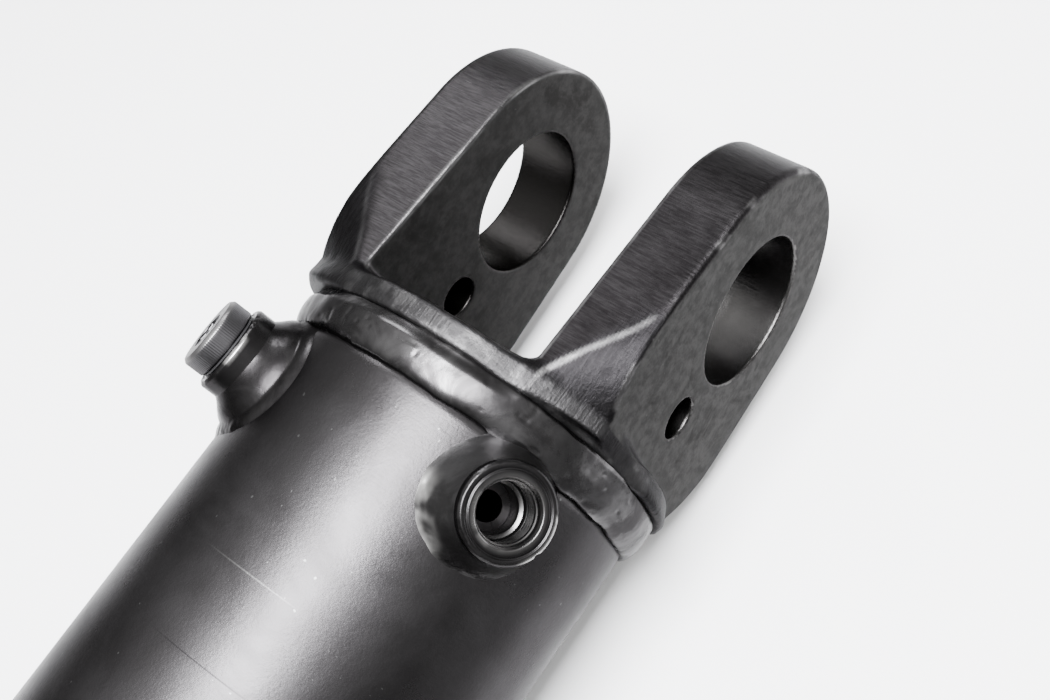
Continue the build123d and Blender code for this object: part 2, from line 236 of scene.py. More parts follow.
def eye_field(points):
    x, y, z = points[..., 0] - EYE_X, points[..., 1], points[..., 2]
    eye = smooth_max(np.hypot(x, z) - EYE_R, np.abs(y) - EYE_Y, 4.0)
    neck_x = x + EYE_X - ROD_END_X
    neck = np.maximum(np.hypot(y, z) - EYE_NECK_R, np.maximum(5 - neck_x, x + EYE_SEAT_R))
    body = smooth_max(smooth_min(eye, neck, 12.0), np.abs(y) - EYE_Y, 1.5)
    body = smooth_max(body, EYE_SEAT_R - np.hypot(x, z), 1.4)
    above_only = 50 * (z < 0)
    return smooth_max(body, NIPPLE_HOLE_R - np.hypot(x, y) - above_only, 0.8)


def surface_net(field, low, high, step):
    """Points and quads on the zero level of a field that is negative inside."""
    low, high = np.array(low, float), np.array(high, float)
    counts = np.ceil((high - low) / step).astype(int) + 1
    axes = [low[k] + step * np.arange(counts[k]) for k in range(3)]
    value = field(np.stack(np.meshgrid(*axes, indexing="ij"), -1))
    inside = value < 0
    cells = counts - 1

    def at(array, corner):
        return array[tuple(slice(c, c + n) for c, n in zip(corner, cells))]

    filled = sum(at(inside, corner).astype(np.int8) for corner in np.ndindex(2, 2, 2))
    mixed = (filled > 0) & (filled < 8)
    places = np.argwhere(mixed)
    number = np.full(cells, -1)
    number[mixed] = np.arange(len(places))
    total, crossings = np.zeros((len(places), 3)), np.zeros(len(places))
    for start in np.ndindex(2, 2, 2):
        for k in range(3):
            if start[k]:
                continue
            end = tuple(1 if n == k else start[n] for n in range(3))
            a, b = at(value, start)[mixed], at(value, end)[mixed]
            cut = (a < 0) != (b < 0)
            share = np.where(cut, a / np.where(cut, a - b, 1), 0)
            total += cut[:, None] * (np.array(start) + share[:, None] * np.subtract(end, start))
            crossings += cut
    points = low + step * (places + total / crossings[:, None])
    quads = []
    for k in range(3):
        i, j = (k + 1) % 3, (k + 2) % 3
        here = [slice(1, -1)] * 3
        here[k] = slice(0, -1)
        there = list(here)
        there[k] = slice(1, None)
        starts, ends = inside[tuple(here)], inside[tuple(there)]
        grid = np.argwhere(starts != ends)
        leaving = starts[tuple(grid.T)]
        grid[:, i] += 1
        grid[:, j] += 1
        ring = []
        for back_i, back_j in ((0, 0), (1, 0), (1, 1), (0, 1)):
            cell = grid.copy()
            cell[:, i] -= back_i
            cell[:, j] -= back_j
            ring.append(number[tuple(cell.T)])
        ring = np.stack(ring, 1)
        quads.append(np.where(leaving[:, None], ring, ring[:, ::-1]))
    return points, np.concatenate(quads)


def slope_of(field, points, reach=0.05):
    steps = np.eye(3) * reach
    return np.stack([(field(points + s) - field(points - s)) / (2 * reach) for s in steps], -1)


def edge_distance(first, second, points):
    """How far points of a surface are from the edge where two of its distance fields meet."""
    turn = np.linalg.norm(slope_of(first, points) - slope_of(second, points), axis=1)
    a, b = first(points), second(points)
    return np.abs(a - b) / np.maximum(turn, 0.05) + 3 * np.maximum(np.minimum(np.abs(a), np.abs(b)) - 0.8, 0)


def field_mesh(field, low, high, step):
    """Surface net whose points are drawn onto the surface itself, with their outward normals."""
    points, quads = surface_net(field, low, high, step)
    for _ in range(3):
        slope = slope_of(field, points)
        move = -field(points) / np.maximum((slope**2).sum(1), 0.2)
        points = points + np.clip(move, -step / 3, step / 3)[:, None] * slope
    slope = slope_of(field, points)
    return points, quads, slope / np.linalg.norm(slope, axis=1)[:, None]


# Meshes

def new_piece(name, points, quads, sharp_degrees=None, **marks):
    """Blender object from points in millimetres; marks are numbers kept on the points for its material."""
    a, b, c, d = (points[quads[:, k]] for k in range(4))
    volume = (np.einsum("ij,ij->i", a, np.cross(b, c)) + np.einsum("ij,ij->i", a, np.cross(c, d))).sum()
    mesh = bpy.data.meshes.new(name)
    mesh.from_pydata((points * MM).tolist(), [], (quads if volume > 0 else quads[:, ::-1]).tolist())
    for mark, values in marks.items():
        mesh.attributes.new(mark, "FLOAT", "POINT").data.foreach_set("value", values.astype(np.float32))
    mesh.shade_smooth()
    if sharp_degrees:
        mesh.set_sharp_from_angle(angle=radians(sharp_degrees))
    piece = bpy.data.objects.new(name, mesh)
    bpy.context.scene.collection.objects.link(piece)
    return piece


def ring_quads(rows, columns, close_rows):
    """Quads over a grid whose columns close on themselves, and whose rows may."""
    i = np.arange(rows if close_rows else rows - 1)[:, None]
    j = np.arange(columns)[None, :]
    next_i, next_j = (i + 1) % rows, (j + 1) % columns
    corners = [i * columns + j, i * columns + next_j, next_i * columns + next_j, next_i * columns + j]
    return np.stack([np.broadcast_to(c, (len(i), columns)) for c in corners], -1).reshape(-1, 4)


def rounded(profile, radius=0.5, steps=3):
    """Closed outline with each corner turned by a small curve."""
    points = np.array(profile, float)
    result = []
    for before, corner, after in zip(np.roll(points, 1, 0), points, np.roll(points, -1, 0)):
        reach_in = min(radius, np.linalg.norm(before - corner) * 0.45)
        reach_out = min(radius, np.linalg.norm(after - corner) * 0.45)
        start = corner + (before - corner) / max(np.linalg.norm(before - corner), 1e-9) * reach_in
        end = corner + (after - corner) / max(np.linalg.norm(after - corner), 1e-9) * reach_out
        for t in np.linspace(0, 1, steps + 1):
            result.append((1 - t) ** 2 * start + 2 * t * (1 - t) * corner + t * t * end)
    return np.array(result)


def divided(outline, longest):
    """The outline with its long runs cut into shorter ones."""
    result = []
    for start, end in zip(outline, np.roll(outline, -1, 0)):
        pieces = max(1, int(np.ceil(np.linalg.norm(end - start) / longest)))
        result += [start + (end - start) * k / pieces for k in range(pieces)]
    return np.array(result)


class Turning:
    """Places (along, radius, angle) about an axis; angle starts at side."""

    def __init__(self, origin, axis, side):
        self.origin, self.axis = np.array(origin, float), np.array(axis, float)
        self.side = np.array(side, float)
        self.other = np.cross(self.axis, self.side)

    def at(self, along, radius, angle):
        across = np.cos(angle)[..., None] * self.side + np.sin(angle)[..., None] * self.other
        return self.origin + along[..., None] * self.axis + radius[..., None] * across


ALONG_X = Turning((0, 0, 0), (1, 0, 0), (0, 0, 1))
ALONG_EYE = Turning((EYE_X, 0, 0), (0, 1, 0), (1, 0, 0))


def port_axis(x, lean):
    """Axis of a port that leans 45 degrees from +Z, to +Y or -Y; angles start along the cylinder."""
    return Turning((x, 0, 0), (0, lean * sqrt(0.5), sqrt(0.5)), (1, 0, 0))


def lathe(name, outline, turning=ALONG_X, columns=192, warp=None, sharp_degrees=40, **marks):
    """Closed outline of (along, radius) points turned about an axis. warp may change along and radius."""
    angle = np.arange(columns) * tau / columns
    along, radius, angle = (np.array(v) for v in np.broadcast_arrays(outline[:, :1], outline[:, 1:], angle))
    if warp:
        along, radius = warp(along, radius, angle)
    points = turning.at(along, radius, angle).reshape(-1, 3)
    quads = ring_quads(len(outline), columns, True)
    values = {mark: make(along, radius, angle).reshape(-1) for mark, make in marks.items()}
    return new_piece(name, points, quads, sharp_degrees, **values)


def cut_away(piece, *cutters):
    """Takes the cutters out of a piece, then removes them."""
    for cutter in cutters:
        modifier = piece.modifiers.new("cut", "BOOLEAN")
        modifier.object, modifier.operation, modifier.solver = cutter, "DIFFERENCE", "EXACT"
    bpy.context.view_layer.update()
    shape = piece.evaluated_get(bpy.context.evaluated_depsgraph_get())
    mesh = bpy.data.meshes.new_from_object(shape)
    piece.modifiers.clear()
    piece.data = mesh
    for cutter in cutters:
        bpy.data.objects.remove(cutter)
    return piece


def peg(turning, start, end, radius, columns=64):
    """Plain closed cylinder used as a cutter."""
    outline = np.array([(start, 0.001), (start, radius), (end, radius), (end, 0.001)])
    return lathe("cutter", outline, turning, columns, sharp_degrees=None)


def place(piece, material, body, slot, *nodes):
    """Gives a piece its material and body, and hides the CAD nodes that it stands for."""
    piece.data.materials.clear()
    piece.data.materials.append(material)
    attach(piece, body)
    if nodes:
        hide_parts(*nodes)
    return piece


# Materials

class Shader:
    """A node material on one Principled shader, built a node at a time."""

    def __init__(self, name):
        self.material = bpy.data.materials.new(name)
        self.material.use_nodes = True
        self.tree = self.material.node_tree
        self.main = self.tree.nodes["Principled BSDF"]
        self.where = self.tree.nodes.new("ShaderNodeTexCoord").outputs["Object"]
        self.relief = None

    def feed(self, socket, value):
        if isinstance(value, bpy.types.NodeSocket):
            self.tree.links.new(value, socket)
        elif value is not None:
            socket.default_value = (*value, 1.0) if isinstance(value, tuple) else value

    def noise(self, scale, stretch=(1, 1, 1), detail=4.0, rough=0.55, warp=0.0, turn=(0, 0, 0)):
        """Noise drawn out along the axes whose stretch is small, after a turn."""
        mapping = self.tree.nodes.new("ShaderNodeMapping")
        mapping.inputs["Scale"].default_value = stretch
        mapping.inputs["Rotation"].default_value = turn
        self.feed(mapping.inputs["Vector"], self.where)
        node = self.tree.nodes.new("ShaderNodeTexNoise")
        self.feed(node.inputs["Vector"], mapping.outputs[0])
        settings = {"Scale": scale, "Detail": detail, "Roughness": rough, "Distortion": warp}
        for socket, value in settings.items():
            node.inputs[socket].default_value = value
        return node.outputs["Fac"]

    def coordinate(self, axis):
        parts = self.tree.nodes.new("ShaderNodeSeparateXYZ")
        self.feed(parts.inputs[0], self.where)
        return parts.outputs[axis]

    def window(self, value, low, high):
        """1 at the middle of a range, falling smoothly to 0 at its ends; low and high in millimetres."""
        offset = self.math("SUBTRACT", value, (low + high) / 2 * MM)
        return self.levels(self.math("ABSOLUTE", offset), 0.0, (high - low) / 2 * MM, 1.0, 0.0)

    def scratch(self, x, y_range, half_width=0.32):
        """Hair line round the tube at x, over a stretch of Y with faded ends; lengths in millimetres."""
        across = self.window(self.coordinate("X"), x - half_width, x + half_width)
        return self.times(across, self.window(self.coordinate("Y"), *y_range))

    def mark(self, name):
        node = self.tree.nodes.new("ShaderNodeAttribute")
        node.attribute_name = name
        return node.outputs["Fac"]

    def levels(self, value, low, high, to_low=0.0, to_high=1.0):
        node = self.tree.nodes.new("ShaderNodeMapRange")
        node.interpolation_type = "SMOOTHSTEP"
        for socket, number in zip(node.inputs[1:5], (low, high, to_low, to_high)):
            socket.default_value = number
        self.feed(node.inputs[0], value)
        return node.outputs[0]

    def mix(self, share, a, b):
        """a where share is 0 and b where it is 1; numbers or colours."""
        node = self.tree.nodes.new("ShaderNodeMix")
        colour = any(isinstance(v, tuple) or getattr(v, "type", "") == "RGBA" for v in (a, b))
        node.data_type = "RGBA" if colour else "FLOAT"
        sockets = [s for s in node.inputs if s.enabled and s.name in ("A", "B")]
        self.feed(node.inputs["Factor"], share)
        for socket, value in zip(sockets, (a, b)):
            self.feed(socket, value)
        return next(s for s in node.outputs if s.enabled)

    def math(self, operation, a, b=None):
        node = self.tree.nodes.new("ShaderNodeMath")
        node.operation = operation
        self.feed(node.inputs[0], a)
        self.feed(node.inputs[1], b)
        return node.outputs[0]

    def times(self, a, b):
        return self.math("MULTIPLY", a, b)

    def bump(self, height, distance, strength=1.0):
        node = self.tree.nodes.new("ShaderNodeBump")
        node.inputs["Distance"].default_value = distance
        self.feed(node.inputs["Strength"], strength)
        self.feed(node.inputs["Height"], height)
        if self.relief:
            self.feed(node.inputs["Normal"], self.relief)
        self.relief = node.outputs[0]

    def done(self, colour, roughness, metallic=1.0, **others):
        self.feed(self.main.inputs["Base Color"], colour)
        self.feed(self.main.inputs["Roughness"], roughness)
        self.feed(self.main.inputs["Metallic"], metallic)
        for socket, value in others.items():
            self.feed(self.main.inputs[socket.replace("_", " ")], value)
        if self.relief:
            self.feed(self.main.inputs["Normal"], self.relief)
        return self.material


DARK_EDGE = (0.5, 0.5, 0.5)  # how much of a dark oxide's mirror shine is left at a glancing angle


def dark_tube_finish():
    """Smooth dark satin: faint clouds and smudges, fine grain, a light and a dark scratch, pale specks."""
    s = Shader("tube_finish")
    clouds = s.noise(28, detail=6, rough=0.6)
    smudges = s.noise(26, detail=7, rough=0.62, warp=1.2)
    colour = s.mix(s.levels(clouds, 0.3, 0.7), (0.031, 0.0294, 0.0302), (0.041, 0.0393, 0.0405))
    colour = s.mix(s.times(s.scratch(148.7, (-14, 24)), 0.9), colour, (0.095, 0.094, 0.093))
    colour = s.mix(s.times(s.scratch(174.0, (-14, 34)), 0.9), colour, (0.012, 0.0115, 0.012))
    specks = s.levels(s.noise(620, detail=0), 0.845, 0.87)
    colour = s.mix(specks, colour, (0.085, 0.085, 0.085))
    s.bump(s.noise(190, (6, 1, 1), detail=4), 0.00004, 0.7)
    s.bump(s.noise(900, detail=5, rough=0.7), 0.00009, 0.6)
    roughness = s.mix(s.levels(smudges, 0.34, 0.66), 0.27, 0.36)
    return s.done(colour, roughness, Specular_Tint=DARK_EDGE)


def forging_finish():
    """The clevis and eye: matte flats, edges milled along the pin, smooth bores, rough neck, worn edges;
    along the neck ridge and on top of the collar the worn mark is partly painted highlight. The far ear (y
    below 0) has paler milled faces (painted light), darker flats and a darker bore (painted shade) than the
    near one, and the milled faces towards the ear tips are painted paler too (painted light)."""
    s = Shader("forging_finish")
    flat, forged, bore, worn = (s.mark(name) for name in ("flat", "forged", "bore", "worn"))
    pale, far = s.mark("pale"), s.mark("far")
    lines = s.levels(s.noise(90, (18, 1.6, 18), detail=5, rough=0.75), 0.35, 0.70)
    drag = s.levels(s.noise(60, (0.8, 16, 16), detail=4, rough=0.7), 0.35, 0.70)
    grit = s.noise(900, detail=4, rough=0.7)
    scuffs = s.noise(1.0, (700, 90, 700), detail=2, rough=0.5, turn=(0.5, 0.9, 0.4))
    scuffs = s.levels(scuffs, 0.72, 0.77)

    milled = s.mix(lines, (0.0055, 0.0050, 0.0053), (0.0130, 0.0122, 0.0126))
    rubbed_and_lit = s.mix(lines, (0.0210, 0.0195, 0.0204), (0.0420, 0.0400, 0.0412))
    patches = s.levels(s.noise(70, detail=6, rough=0.65), 0.36, 0.66, 0.1, 0.35)
    # Lighter milled colour: in random patches as wear, and strongly where the painted-light mark is set, as
    # painted light on the far ear and the ear tips.
    milled = s.mix(s.mix(pale, patches, 0.85), milled, rubbed_and_lit)
    milled = s.mix(scuffs, milled, (0.065, 0.063, 0.065))

    speckle = s.levels(s.noise(330, detail=6, rough=0.7), 0.35, 0.65)
    matte = s.mix(speckle, (0.023, 0.0226, 0.0222), (0.040, 0.0392, 0.0384))
    smudge = s.levels(s.noise(75, (1, 1, 1.4), detail=5, rough=0.6), 0.58, 0.66)
    matte = s.mix(s.times(smudge, 0.35), matte, (0.015, 0.0145, 0.014))
    matte = s.mix(s.times(scuffs, 0.7), matte, (0.060, 0.058, 0.057))
    # Painted shade: the far ear's flats are darkened where the far mark is set.
    matte = s.mix(s.times(far, 0.4), matte, (0.010, 0.0097, 0.0096))
    stains = s.times(s.levels(s.noise(48, detail=6, rough=0.7, warp=0.6), 0.56, 0.66), 0.6)
    matte = s.mix(stains, matte, (0.011, 0.0106, 0.0103))

    rough = s.mix(drag, (0.0080, 0.0076, 0.0080), (0.0125, 0.0119, 0.0125))
    smooth = s.levels(s.noise(45, detail=5), 0.3, 0.7)
    smooth = s.mix(smooth, (0.040, 0.0388, 0.0380), (0.072, 0.0703, 0.0690))
    # Painted shade: the far ear's bore is darkened where the far mark is set.
    smooth = s.mix(far, smooth, (0.015, 0.0143, 0.0138))

    colour = s.mix(forged, s.mix(flat, milled, matte), rough)
    colour = s.mix(bore, colour, smooth)
    colour = s.mix(worn, colour, (0.16, 0.157, 0.157))
    roughness = s.mix(forged, s.mix(flat, 0.37, 0.60), 0.42)
    roughness = s.mix(worn, s.mix(bore, roughness, 0.27), 0.28)
    s.bump(lines, 0.00006, s.mix(flat, 0.5, 0.0))
    s.bump(drag, 0.00007, s.times(forged, 0.6))
    s.bump(grit, 0.00016, s.mix(bore, s.mix(forged, 0.15, 0.6), 0.04))
    return s.done(colour, roughness, Specular_Tint=DARK_EDGE)


def weld_finish():
    """Weld metal under the dark finish: glossy, with duller patches and bright worn spots. The spare port's
    weld is painted as dark as the tube: painted shade."""
    s = Shader("weld_finish")
    patches = s.levels(s.noise(60, detail=6, rough=0.65, warp=0.8), 0.40, 0.64)
    colour = s.mix(patches, (0.029, 0.0278, 0.0284), (0.070, 0.0683, 0.0693))
    colour = s.mix(s.mark("worn"), colour, (0.34, 0.335, 0.328))
    # Painted shade: the darker weld colour, used where the dark mark is set, on the spare port's weld.
    dark = s.mix(patches, (0.0130, 0.0122, 0.0126), (0.030, 0.0288, 0.0294))
    colour = s.mix(s.mark("dark"), colour, dark)
    s.bump(s.noise(420, detail=4), 0.00009, 0.5)
    roughness = s.mix(s.mark("dull"), s.mix(patches, 0.30, 0.20), 0.35)
    return s.done(colour, roughness, Specular_Tint=DARK_EDGE)


def machined_finish(name, dark, light, roughness):
    """Machined metal: faint clouds, bare where it is worn, and a slight grain."""
    s = Shader(name)
    colour = s.mix(s.levels(s.noise(60, detail=5), 0.3, 0.7), dark, light)
    colour = s.mix(s.mark("worn"), colour, (0.28, 0.275, 0.27))
    s.bump(s.noise(420, detail=3), 0.00002, 0.4)
    roughness = s.mix(s.noise(140, detail=4), roughness - 0.06, roughness + 0.08)
    return s.done(colour, roughness, Specular_Tint=DARK_EDGE)


def chrome_finish():
    s = Shader("hard_chrome")
    s.bump(s.noise(1500, (1, 6, 6), detail=2), 0.000004, 0.4)
    roughness = s.mix(s.levels(s.noise(30, detail=6, warp=1.0), 0.45, 0.7), 0.07, 0.14)
    return s.done((0.34, 0.34, 0.35), roughness)


def rubber_finish():
    s = Shader("seal_rubber")
    s.bump(s.noise(1200, detail=3), 0.00006, 0.5)
    colour = s.mix(s.noise(120, detail=4), (0.008, 0.008, 0.009), (0.018, 0.017, 0.018))
    return s.done(colour, 0.62, 0.0, Specular_IOR_Level=0.3)


def plastic_finish():
    s = Shader("bearing_plastic")
    s.bump(s.noise(1500, detail=3), 0.00004, 0.4)
    colour = s.mix(s.noise(160, detail=4), (0.018, 0.034, 0.026), (0.028, 0.050, 0.040))
    return s.done(colour, 0.5, 0.0)


def bronze_finish():
    s = Shader("bush_bronze")
    s.bump(s.noise(500, (1, 0.1, 1), detail=3), 0.00004, 0.5)
    colour = s.mix(s.noise(70, detail=5), (0.17, 0.105, 0.040), (0.28, 0.185, 0.075))
    return s.done(colour, 0.30)


def zinc_finish():
    s = Shader("zinc_plate")
    colour = s.mix(s.noise(220, detail=5), (0.19, 0.175, 0.13), (0.30, 0.29, 0.25))
    s.bump(s.noise(900, detail=3), 0.00003, 0.4)
    return s.done(colour, 0.32)


def iron_finish():
    s = Shader("piston_iron")
    s.bump(s.noise(700, detail=4), 0.00006, 0.5)
    colour = s.mix(s.noise(120, detail=5), (0.08, 0.08, 0.08), (0.14, 0.14, 0.137))
    return s.done(colour, 0.42)


FINISH = {
    "forged_steel": forging_finish(),
    "tube_finish": dark_tube_finish(),
    "weld_metal": weld_finish(),
    "machined_steel": machined_finish("machined_steel", (0.020, 0.019, 0.0195),
                                      (0.034, 0.033, 0.0335), 0.27),
    "dark_steel": machined_finish("dark_steel", (0.050, 0.0485, 0.050), (0.085, 0.083, 0.087), 0.34),
    "hard_chrome": chrome_finish(),
    "piston_iron": iron_finish(),
    "bush_bronze": bronze_finish(),
    "zinc_plate": zinc_finish(),
    "seal_rubber": rubber_finish(),
    "bearing_plastic": plastic_finish(),
}


# The base end

def make_clevis():
    """The base forging, with marks for its flats, rough neck, bores and worn edges, and marks for painted
    light on the milled faces of the far ear and the ear tips and for painted shade on the far ear's flats
    and bore.
    """
    reach = COLLAR_R + COLLAR_LIP + 1.5
    points, quads, normals = field_mesh(clevis_field, (-EAR_TIP_R - 1.5, -reach, -reach),
                                        (GROOVE_X + 1.5, reach, reach), FORGING_STEP)
    x, y, z = points.T
    bore = (np.hypot(x, z) < PIN_R + 0.4) | (np.hypot(x - LOCK_X, z) < LOCK_R + 0.3)
    flat = ramp(np.abs(normals[:, 1]), 0.90, 0.97) * (x < SLOT_FLOOR_X + 1)
    flare = ramp(1.0 - np.abs(neck_flare(x, y, z)), 0, 0.8) * ramp(x, 27, 33)
    forged = np.maximum(flare, ramp(x, SLOT_FLOOR_X - 3.5, SLOT_FLOOR_X - 1.5)) * (1 - flat)

    def outline(p):
        return ear_outline(p[..., 0], p[..., 2])

    def neck(p):
        return neck_flare(p[..., 0], p[..., 1], p[..., 2])

    def side(p):
        return np.abs(p[..., 1]) - EAR_Y

    def slot(p):
        return -slot_room(p[..., 0], p[..., 1])

    patchy = 0.25 + 0.75 * ramp(cloud(points, 9, 5), -0.3, 0.3)
    broken = ramp(cloud(points, 7, 6), 0.0, 0.45)
    # Bright line along the ridge where the ears meet the neck: edge wear, and a painted highlight, full on
    # the near ear (y above 0) and faint on the far one.
    ridge = ramp(1.25 - edge_distance(outline, neck, points), 0, 1.15)
    ridge = ridge * ramp(x, 30, 34) * np.where(y > 0, 1.0, 0.2)
    worn = ridge * (0.45 + 0.55 * ramp(x, 46, 56)) * (0.6 + 0.4 * patchy)
    worn = np.maximum(worn, ramp(1.3 - edge_distance(outline, side, points), 0, 0.8) * broken * 0.6)
    worn = np.maximum(worn, ramp(1.1 - edge_distance(outline, slot, points), 0, 0.8) * patchy * 0.7)
    worn = np.maximum(worn, ramp(1.0 - edge_distance(neck, side, points), 0, 0.8) * broken * 0.4)
    # Lighter patches on the upward-facing top of the collar band, mostly on the near side: rubbed wear, and
    # a painted highlight where the overhead light falls.
    rubbed_and_lit = ramp(x, SLOT_FLOOR_X - 1, SLOT_FLOOR_X + 2) * ramp(normals[:, 2], 0.1, 0.5)
    rubbed_and_lit = rubbed_and_lit * ramp(y, -50, -15) * (0.13 + 0.20 * ramp(cloud(points, 4, 9), 0.05, 0.45))
    worn = np.maximum(worn, rubbed_and_lit)
    lift = forged * ~bore * (0.13 * cloud(points, 3.2, 11) + 0.12 * cloud(points, 9, 17))
    lift += (1 - forged) * (1 - flat) * ~bore * 0.03 * (cloud(points * (1, 0.25, 1), 2.6, 19) - 1)
    # The next marks: the far ear (y below 0) gets painted shade on its flats and bore, and a painted-light
    # mark makes the milled faces paler there and towards the ear tips.
    far = 1.0 * (y < 0)
    pale = np.maximum(far, 0.6 * ramp(-x, -15, 25))
    piece = new_piece("base_clevis_forging", points + lift[:, None] * normals, quads,
                      flat=flat * ~bore, forged=forged * ~bore, bore=bore * 1.0, worn=worn * ~bore,
                      pale=pale, far=far)
    return place(piece, FINISH["forged_steel"], "barrel", "forged_steel", "base_clevis")


def bead_ring(name, x0, x1, foot_r, top_r, start_r, seed, columns=720, rows=36, lump=0.5):
    """Weld bead round the cylinder axis: smooth swells, small pits and wandering edges. top_r and start_r
    give the crown's radius and the radius at the start edge by angle."""
    across = np.linspace(0, 1, rows)
    angle = np.arange(columns) * tau / columns
    around = np.stack([np.zeros(columns), foot_r * np.sin(angle), foot_r * np.cos(angle)], -1)
    edge_a, edge_b = 0.25 * cloud(around, 12, seed), 1.1 * cloud(around, 13, seed + 3, 4)
    s, a = across[:, None], angle[None, :]
    x = x0 + edge_a + (x1 + edge_b - x0 - edge_a) * s
    fall = np.sqrt(1 - np.clip((s - 0.42) / 0.58, 0, 1) ** 2.2)
    start, top = start_r(a), top_r(a) - 0.6 * lump
    notch = 0.9 * (1 - ramp(s, 0.0, 0.07)) * (0.6 + 0.5 * cloud(around, 5, seed + 17)[None, :])
    crown = (start + (top - start) * ramp(s, 0.02, 0.34) - notch - foot_r + 0.4) * fall
    base = ALONG_X.at(x, np.full_like(x, foot_r), np.broadcast_to(a, x.shape))
    lumps = 0.9 * lump * cloud(base, 15, seed + 7, 2) + 0.22 * lump * cloud(base, 4.5, seed + 11, 2)
    pits = -0.3 * lump * ramp(cloud(base, 2.4, seed + 13, 1), 0.5, 0.8)
    radius = np.minimum(foot_r - 0.4 + crown + (lumps + pits) * fall * ramp(s, 0, 0.15), top_r(a) + 0.05)
    inner = foot_r - 4
    x = np.concatenate([x[:1], x, x[-1:]])
    radius = np.concatenate([np.full((1, columns), inner), radius, np.full((1, columns), inner)])
    points = ALONG_X.at(x, radius, np.broadcast_to(a, x.shape)).reshape(-1, 3)
    return new_piece(name, points, ring_quads(rows + 2, columns, True), 60)


def make_tube():
    """Barrel, faintly wavy, with pockets for the bosses, oil holes and the lock screw's hole."""
    outline = rounded([(TUBE_START_X, BORE_R), (TUBE_START_X, TUBE_R - 1.2), (BEAD_END_X + 1.5, TUBE_R),
                       (TUBE_END_X, TUBE_R), (TUBE_END_X, GLAND_THREAD_R), (GLAND_THREAD_X, GLAND_THREAD_R),
                       (GLAND_THREAD_X, BORE_R)], 0.8)

    def wave(x, radius, angle):
        at = ALONG_X.at(x, radius, angle)
        return x, radius + 0.035 * cloud(at, 55, 21, 2) * (radius > BORE_R + 5)

    piece = lathe("barrel_tube", divided(outline, 7.0), columns=320, warp=wave, sharp_degrees=None)
    pegs = []
    for x, lean in ((BASE_PORT_X, 1), (SPARE_PORT_X, -1), (ROD_PORT_X, 1)):
        pegs.append(peg(port_axis(x, lean), PORT_SEAT_H, TUBE_R + 5, PORT_BOSS_R))
        pegs.append(peg(port_axis(x, lean), BORE_R - 8, PORT_SEAT_H + 1, OIL_HOLE_R))
    screw_x = sum(span("gland_lock_screw", 0)) / 2
    pegs.append(peg(Turning((screw_x, 0, 0), (0, 0, 1), (1, 0, 0)), BORE_R, TUBE_R + 5, LOCK_SCREW_HOLE_R))
    cut_away(piece, *pegs)
    piece.data.shade_smooth()
    piece.data.set_sharp_from_angle(angle=radians(35))
    return place(piece, FINISH["tube_finish"], "barrel", "tube_finish", "tube")


def sector(angle, middle, half):
    """1 round a middle angle in degrees, falling to 0 at half of a sector on either side."""
    off = np.abs((angle - radians(middle) + pi) % tau - pi)
    return ramp(radians(half) - off, 0, radians(half) / 2)


def make_boss(name, x, lean, seed):
    """Port boss: ringed face, small bevel at the mouth, helical thread, nicked rims."""
    foot, top = PORT_SEAT_H + 0.1, PORT_FACE_H
    thread_top, thread_end = top - 3.0, top - 10.0
    below = [(foot, PORT_DRILL_R), (thread_end - 2.2, PORT_DRILL_R), (thread_end - 0.9, PORT_THREAD_R),
             (thread_end, PORT_THREAD_R)]
    mouth = [(thread_top + 0.2, THREAD_CREST_R), (thread_top + 0.8, PORT_THREAD_R),
             (top - 1.2, PORT_THREAD_R + 0.1), (top - 0.2, PORT_MOUTH_R)]
    face = [(top, PORT_MOUTH_R + 0.2), (top, 11.2), (top - 0.35, 11.5), (top - 0.35, 11.9), (top, 12.2)]
    outside = [(top, PORT_BOSS_R - 0.8), (top - 0.9, PORT_BOSS_R), (foot, PORT_BOSS_R)]

    # The thread is put in between two parts of the rounded outline. Each part keeps the points of its own
    # closing run, so the outline folds back twice: up into the wall from the foot, and across the groove
    # below the thread.
    corner_steps = 3
    whole = rounded([*mouth, *face, *outside, *below], 0.3, corner_steps)
    start = (corner_steps + 1) * len(mouth + face + outside)
    turns = np.arange(thread_end, thread_top, THREAD_PITCH / 10)
    thread = np.stack([turns, np.full(len(turns), THREAD_CREST_R)], -1)
    outline = np.concatenate([divided(whole[start:], 1.2)[:-1], thread, divided(whole[:start], 1.2)[:-1]])
    turning = port_axis(x, lean)

    def cut(along, radius, angle):
        deep = (np.abs(radius - THREAD_CREST_R) < 1e-6) & (along <= thread_top)
        tooth = np.abs(((along / THREAD_PITCH - angle / tau) % 1) * 2 - 1)
        fade = ramp(thread_top - along, 0, THREAD_PITCH) * ramp(along - thread_end, 0, 1.0)
        radius = radius + deep * fade * THREAD_DEPTH * tooth
        at = turning.at(along, radius, angle)
        rim = ramp(radius, PORT_BOSS_R - 1.5, PORT_BOSS_R - 0.5) * ramp(along, top - 2, top - 0.5)
        nicks = rim * ramp(cloud(at, 3.0, seed), 0.0, 0.4) * (0.25 + 0.75 * sector(angle, 92, 55))
        return along - 0.55 * nicks, radius - 0.45 * nicks

    def worn(along, radius, angle):
        at = turning.at(along, radius, angle)
        outer = ramp(radius, PORT_BOSS_R - 1.5, PORT_BOSS_R - 0.7) * ramp(along, top - 1.6, top - 0.9)
        inner = ramp(1.0 - np.abs(radius - PORT_MOUTH_R), 0, 0.7) * ramp(along, top - 1.0, top - 0.6)
        outer = outer * sector(angle, 92, 48) * ramp(cloud(at, 4, seed + 4), -0.3, 0.1)
        inner = inner * (0.35 + 0.65 * sector(angle, -40, 75) * ramp(cloud(at, 3, seed + 5), -0.3, 0.2))
        bare = 0.30 * (radius < PORT_MOUTH_R - 0.2)
        return np.clip(bare + (outer + 0.6 * inner) * (along > top - 1.7), 0, 1)

    piece = lathe(f"{name}_port_body", outline, turning, 224, cut, 32, worn=worn)
    return place(piece, FINISH["machined_steel"], "barrel", "machined_steel", f"{name}_boss")


